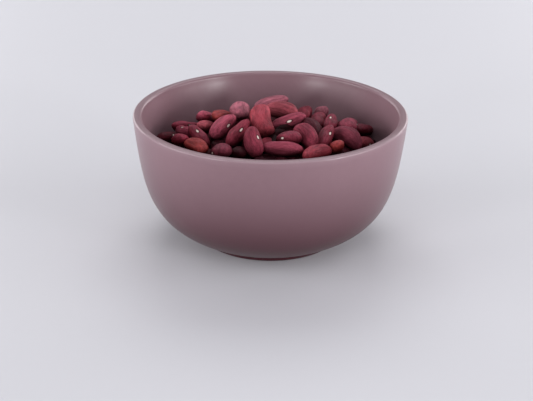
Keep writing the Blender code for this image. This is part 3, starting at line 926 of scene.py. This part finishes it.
def glaze_material(glaze):
    """Satin glaze: softly mottled, a little rougher in blotches, pale at the lip's edge where it runs
    thin and as a painted highlight, and darker low on the outer wall as painted shade.
    """
    material, tree, shader = new_material("Satin Mauve Glaze")
    colour, mask = mottled_colour(tree, GLAZE_MOTTLE, MASK_RANGE, glaze.deep_colour, glaze.colour)
    # Over the mottle: a pale lip edge, partly a painted highlight, then painted shade low on the
    # outer wall
    for name, over in (("glaze_thin_and_highlight", glaze.thin_highlight_colour), ("glaze_foot_shade", glaze.foot_shade_colour)):
        colour = blend_colours(tree, read_attribute(tree, name), colour, over)
    roughness = swung(tree, mask, glaze.roughness, GLAZE_SWING)
    dress(tree, shader, colour, roughness, GLAZE_SPECULAR, mask, GLAZE_RELIEF)
    return material


def scar_masks(tree, place):
    """The scar's white oval and the dark ring round it, from the unit ball point.

    The distance from the middle of the bean's inner side is an ellipse's: the square root of
    (x / half length)^2 + (z / half width)^2, taken on that side only.
    """
    parts = add_node(tree, "ShaderNodeSeparateXYZ", [place]).outputs
    squares = []
    for axis, reach in (("X", SCAR_HALF_LENGTH), ("Z", SCAR_HALF_WIDTH)):
        share = compute(tree, "DIVIDE", parts[axis], reach)
        squares.append(compute(tree, "MULTIPLY", share, share))
    away = compute(tree, "SQRT", compute(tree, "ADD", *squares))
    side = compute(tree, "LESS_THAN", parts["Y"])
    masks = (remap(tree, away, *edge) for edge in (SCAR_EDGE, RING_EDGE))
    return [compute(tree, "MULTIPLY", mask, side) for mask in masks]


def bean_material(skin):
    """Dry bean skin: each bean's tone, with painted light and shade, in fine lengthwise streaks and
    blotches, with its scar.

    The patterns follow the unit ball point, moved by the bean's seed so that no two are alike.
    """
    material, tree, shader = new_material("Dry Bean Skin")
    place = read_attribute(tree, "bean_place", "Vector")
    inputs = {0: SEED_SHIFT, "Scale": read_attribute(tree, "bean_seed")}
    apart = add_node(tree, "ShaderNodeVectorMath", inputs, operation="SCALE").outputs["Vector"]
    own = add_node(tree, "ShaderNodeVectorMath", (place, apart), operation="ADD").outputs["Vector"]
    drawn_out = add_node(tree, "ShaderNodeMapping", {"Vector": own, "Scale": STREAK_STRETCH})
    streaks = add_mottle(tree, drawn_out.outputs["Vector"], STREAK_MOTTLE)
    streak_tone = remap(tree, streaks, *STREAK_TONES)
    blotch_tone = remap(tree, add_mottle(tree, own, BLOTCH_MOTTLE), *BLOTCH_TONES)
    shade = compute(tree, "MULTIPLY", streak_tone, blotch_tone)
    grey = add_node(tree, "ShaderNodeCombineColor", [shade] * 3).outputs["Color"]
    shaded_tone = read_attribute(tree, "skin_tone_and_shade", "Color")
    colour = blend_colours(tree, 1.0, shaded_tone, grey, "MULTIPLY")
    frost = remap(tree, add_mottle(tree, own, FROST_MOTTLE), FROST_RANGE, (0.0, skin.bloom_and_sheen))
    frost = compute(tree, "MULTIPLY", frost, read_attribute(tree, "bean_bloom_and_sheen"))
    oval, ring = scar_masks(tree, place)
    covers = ((frost, skin.bloom_sheen_colour), (ring, skin.ring_colour), (oval, skin.scar_colour))
    for factor, over in covers:
        colour = blend_colours(tree, factor, colour, over)
    roughness = swung(tree, streaks, skin.roughness, SKIN_SWING)
    dress(tree, shader, colour, roughness, DULL_SPECULAR, streaks, SKIN_RELIEF)
    return material


def plain_material(name, low, high, mottle, mask_range, roughness, specular, relief):
    """A finish with nothing but a mottle between two colours and its relief."""
    material, tree, shader = new_material(name)
    colour, mask = mottled_colour(tree, mottle, mask_range, low, high)
    dress(tree, shader, colour, roughness, specular, mask, relief)
    return material


def core_material(skin):
    """Painted shade between the beans: a core of deep maroon, near black, in dull blotches."""
    colours = (skin.gap_shade_colour, skin.gap_light_shade_colour)
    return plain_material("Painted Shade Between Beans", *colours, *CORE_FINISH)


def table_material(stage):
    """A smooth pale table with the faintest unevenness of tone."""
    low = [TABLE_DIP * value for value in stage.table_colour]
    return plain_material("Pale Table", low, stage.table_colour, *TABLE_FINISH)


def add_soft_light(name, azimuth, elevation, distance, width, height, glow):
    """A rectangular light that faces the bowl from an azimuth and an elevation in degrees.

    Azimuth 0 is the camera's side and 90 the bowl's right. Glow is the brightness of its face.
    """
    azimuth, elevation = math.radians(azimuth), math.radians(elevation)
    back = np.array((math.sin(azimuth), -math.cos(azimuth), math.tan(elevation)))
    back = back / np.linalg.norm(back)
    side = np.array((math.cos(azimuth), math.sin(azimuth), 0))
    light = bpy.data.lights.new(name, "AREA")
    light.shape = "RECTANGLE"
    light.size, light.size_y = width, height
    light.energy = glow * math.pi * width * height
    lamp = bpy.data.objects.new(name, light)
    axes = Matrix(np.stack([side, np.cross(back, side), back], axis=1).tolist()).to_4x4()
    lamp.matrix_world = Matrix.Translation(back * distance + [0, 0, LIGHT_AIM]) @ axes
    bpy.context.scene.collection.objects.link(lamp)
    return lamp


def add_camera():
    """The camera, in front of the bowl and looking down at it."""
    camera = bpy.data.cameras.new("Front Camera")
    camera.lens = CAMERA_LENS
    camera.sensor_width = CAMERA_SENSOR
    stand = bpy.data.objects.new("Front Camera", camera)
    turn = Matrix.Rotation(math.radians(CAMERA_TURN), 4, "Z")
    tip = Matrix.Rotation(math.radians(90 - CAMERA_DOWN), 4, "X")
    roll = Matrix.Rotation(math.radians(CAMERA_ROLL), 4, "Z")
    place = Matrix.Translation((0, -CAMERA_DISTANCE, CAMERA_HEIGHT))
    stand.matrix_world = place @ turn @ tip @ roll
    bpy.context.scene.collection.objects.link(stand)
    bpy.context.scene.camera = stand


def add_sky(colour, strength):
    """Even light from all round, as in a white room."""
    world = bpy.data.worlds.new("White Room")
    world.use_nodes = True
    tree = world.node_tree
    feed(tree, tree.nodes["Background"], {"Color": colour, "Strength": strength})
    bpy.context.scene.world = world


def colour_property(label, description, default):
    """A colour that a user can change."""
    return bpy.props.FloatVectorProperty(
        name=label, description=description, default=default, min=0, max=1, size=3, subtype="COLOR"
    )


def number_property(label, description, default, **limits):
    """A number that a user can change, within its limits."""
    return bpy.props.FloatProperty(name=label, description=description, default=default, **limits)


class BeanBowlGlaze(bpy.types.PropertyGroup):
    """Finish of the bowl."""

    colour: colour_property("Glaze", "Colour of the glaze", (0.250, 0.146, 0.173))
    deep_colour: colour_property("Deep Glaze", "Its darker blotches", (0.230, 0.133, 0.157))
    # Partly thin glaze and partly a painted highlight round the lip's edge
    thin_highlight_colour: colour_property("Thin Glaze Highlight", "Glaze round the lip's edge", (0.330, 0.225, 0.255))
    # Painted shade: the colour that the outer wall darkens to low down
    foot_shade_colour: colour_property("Foot Shade", "Glaze low on the wall", (0.056, 0.007, 0.014))
    roughness: number_property("Roughness", "How satin the glaze is", 0.30, min=0.05, max=1)


class BeanBowlSkin(bpy.types.PropertyGroup):
    """Finish of the beans."""

    scar_colour: colour_property("Scar", "White oval on a bean's inner side", (0.78, 0.66, 0.60))
    ring_colour: colour_property("Scar Ring", "Dark ring round the scar", (0.030, 0.006, 0.008))
    # Partly the skins' pale bloom and partly a painted sheen on the beans' tops
    bloom_sheen_colour: colour_property("Bloom", "The pale bloom on the skins", (0.50, 0.235, 0.31))
    bloom_and_sheen: number_property("Bloom Strength", "How much the bloom hides", 0.22, min=0, max=1)
    # Painted shade: the near black of the core between the beans
    gap_shade_colour: colour_property("Gaps", "The dark between the beans", (0.020, 0.003, 0.005))
    gap_light_shade_colour: colour_property("Gaps Light", "Its lighter blotches", (0.045, 0.006, 0.010))
    roughness: number_property("Roughness", "How dull the skins are", 0.42, min=0.05, max=1)


class BeanBowlStage(bpy.types.PropertyGroup):
    """Table and light."""

    table_colour: colour_property("Table", "Colour of the table", (0.66, 0.655, 0.70))
    room_colour: colour_property("Room", "Colour of the light from all round", (0.94, 0.95, 1.0))
    room_strength: number_property("Room Light", "Brightness of the light all round", 0.24, min=0)
    glow: number_property("Lights", "Brightness of all the soft lights", 1.0, min=0)


class BEAN_BOWL_OT_make_bowl(bpy.types.Operator):
    """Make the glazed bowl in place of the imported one"""

    bl_idname = "bean_bowl.make_bowl"
    bl_label = "Make Bowl"

    def execute(self, context):
        material = glaze_material(context.scene.bean_bowl_glaze)
        bowl, points = turned_piece("bowl_glaze", bowl_profile(), TURN_STEPS, material)
        radius, height = np.hypot(points[:, 0], points[:, 1]), points[:, 2]
        # A pale edge round the lip, partly thin glaze and partly a painted highlight
        edge = LIP_OUTER_ROUND * LIP_MIDDLE
        away = np.hypot(radius - RIM_RADIUS + edge, height - HEIGHT + edge) / THIN_GLAZE_HIGHLIGHT_REACH
        write_attribute(bowl, "glaze_thin_and_highlight", "FLOAT", np.exp(-(away**2)))
        # Painted shade: darker low on the outer wall, slowly at first
        low = np.clip((FOOT_SHADE_FROM - height) / (FOOT_SHADE_FROM - FOOT_SHADE_FULL), 0, 1)
        outside = radius > inner_radius(height) + WALL / 2
        write_attribute(bowl, "glaze_foot_shade", "FLOAT", low**FOOT_SHADE_POWER * outside)
        put_on(bowl, BOWL_NODE)
        return {"FINISHED"}


class BEAN_BOWL_OT_make_core(bpy.types.Operator):
    """Make the core under the beans, dark with painted shade"""

    bl_idname = "bean_bowl.make_core"
    bl_label = "Make Core"

    def execute(self, context):
        material = core_material(context.scene.bean_bowl_skin)
        core, _ = turned_piece("bean_core", core_profile()[::-1], CORE_STEPS, material)
        put_on(core, HEAP_NODE)
        return {"FINISHED"}


class BEAN_BOWL_OT_make_beans(bpy.types.Operator):
    """Make the beans of the heap, joined into one piece"""

    bl_idname = "bean_bowl.make_beans"
    bl_label = "Make Beans"

    def execute(self, context):
        points, quads, triangles, ball, shaded_tone, seed, bloom_and_sheen = joined_beans()
        material = bean_material(context.scene.bean_bowl_skin)
        beans = new_piece("beans", points, quads, triangles, material)
        colour = np.column_stack([shaded_tone, np.ones(len(shaded_tone))])
        # The tone carries painted light and shade, and the bloom a painted sheen on the beans' tops
        write_attribute(beans, "skin_tone_and_shade", "FLOAT_COLOR", colour)
        write_attribute(beans, "bean_place", "FLOAT_VECTOR", ball)
        write_attribute(beans, "bean_seed", "FLOAT", seed)
        write_attribute(beans, "bean_bloom_and_sheen", "FLOAT", bloom_and_sheen)
        put_on(beans, HEAP_NODE)
        return {"FINISHED"}


class BEAN_BOWL_OT_make_stage(bpy.types.Operator):
    """Make the table, the lights and the camera"""

    bl_idname = "bean_bowl.make_stage"
    bl_label = "Make Stage"

    def execute(self, context):
        stage = context.scene.bean_bowl_stage
        radius = TABLE_RADIUS * np.linspace(1, 0, TABLE_RINGS)
        top = np.stack([radius, 0 * radius - TABLE_LOW], axis=1) / MM
        under = np.array([(0, -2 * TABLE_LOW), (TABLE_RADIUS, -2 * TABLE_LOW)]) / MM
        profile = np.vstack([under, top])
        table, _ = turned_piece("table", profile, TABLE_STEPS, table_material(stage), False)
        lights = [add_soft_light(*row[:-1], row[-1] * stage.glow) for row in LIGHTS]
        add_sky(stage.room_colour, stage.room_strength)
        add_camera()
        context.scene.view_settings.view_transform = "Standard"
        return {"FINISHED"}


OPERATORS = (
    BEAN_BOWL_OT_make_bowl,
    BEAN_BOWL_OT_make_core,
    BEAN_BOWL_OT_make_beans,
    BEAN_BOWL_OT_make_stage,
)


class BEAN_BOWL_PT_panel(bpy.types.Panel):
    """Lists what the add-on makes and the finishes that can be changed"""

    bl_idname = "BEAN_BOWL_PT_panel"
    bl_label = "Bean Bowl"
    bl_space_type = "VIEW_3D"
    bl_region_type = "UI"
    bl_category = "Bean Bowl"

    def draw(self, context):
        for operator in OPERATORS:
            self.layout.operator(operator.bl_idname)
        for group in GROUPS:
            settings = getattr(context.scene, group)
            for name in settings.__annotations__:
                self.layout.prop(settings, name)


GROUPS = {
    "bean_bowl_glaze": BeanBowlGlaze,
    "bean_bowl_skin": BeanBowlSkin,
    "bean_bowl_stage": BeanBowlStage,
}


def register():
    for group, kind in GROUPS.items():
        bpy.utils.register_class(kind)
        setattr(bpy.types.Scene, group, bpy.props.PointerProperty(type=kind))
    for kind in (*OPERATORS, BEAN_BOWL_PT_panel):
        bpy.utils.register_class(kind)


def unregister():
    for kind in (BEAN_BOWL_PT_panel, *reversed(OPERATORS)):
        bpy.utils.unregister_class(kind)
    for group, kind in GROUPS.items():
        delattr(bpy.types.Scene, group)
        bpy.utils.unregister_class(kind)


def main():
    """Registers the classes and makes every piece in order."""
    register()
    bpy.ops.bean_bowl.make_bowl()
    bpy.ops.bean_bowl.make_core()
    bpy.ops.bean_bowl.make_beans()
    bpy.ops.bean_bowl.make_stage()


if __name__ == "__main__":
    main()
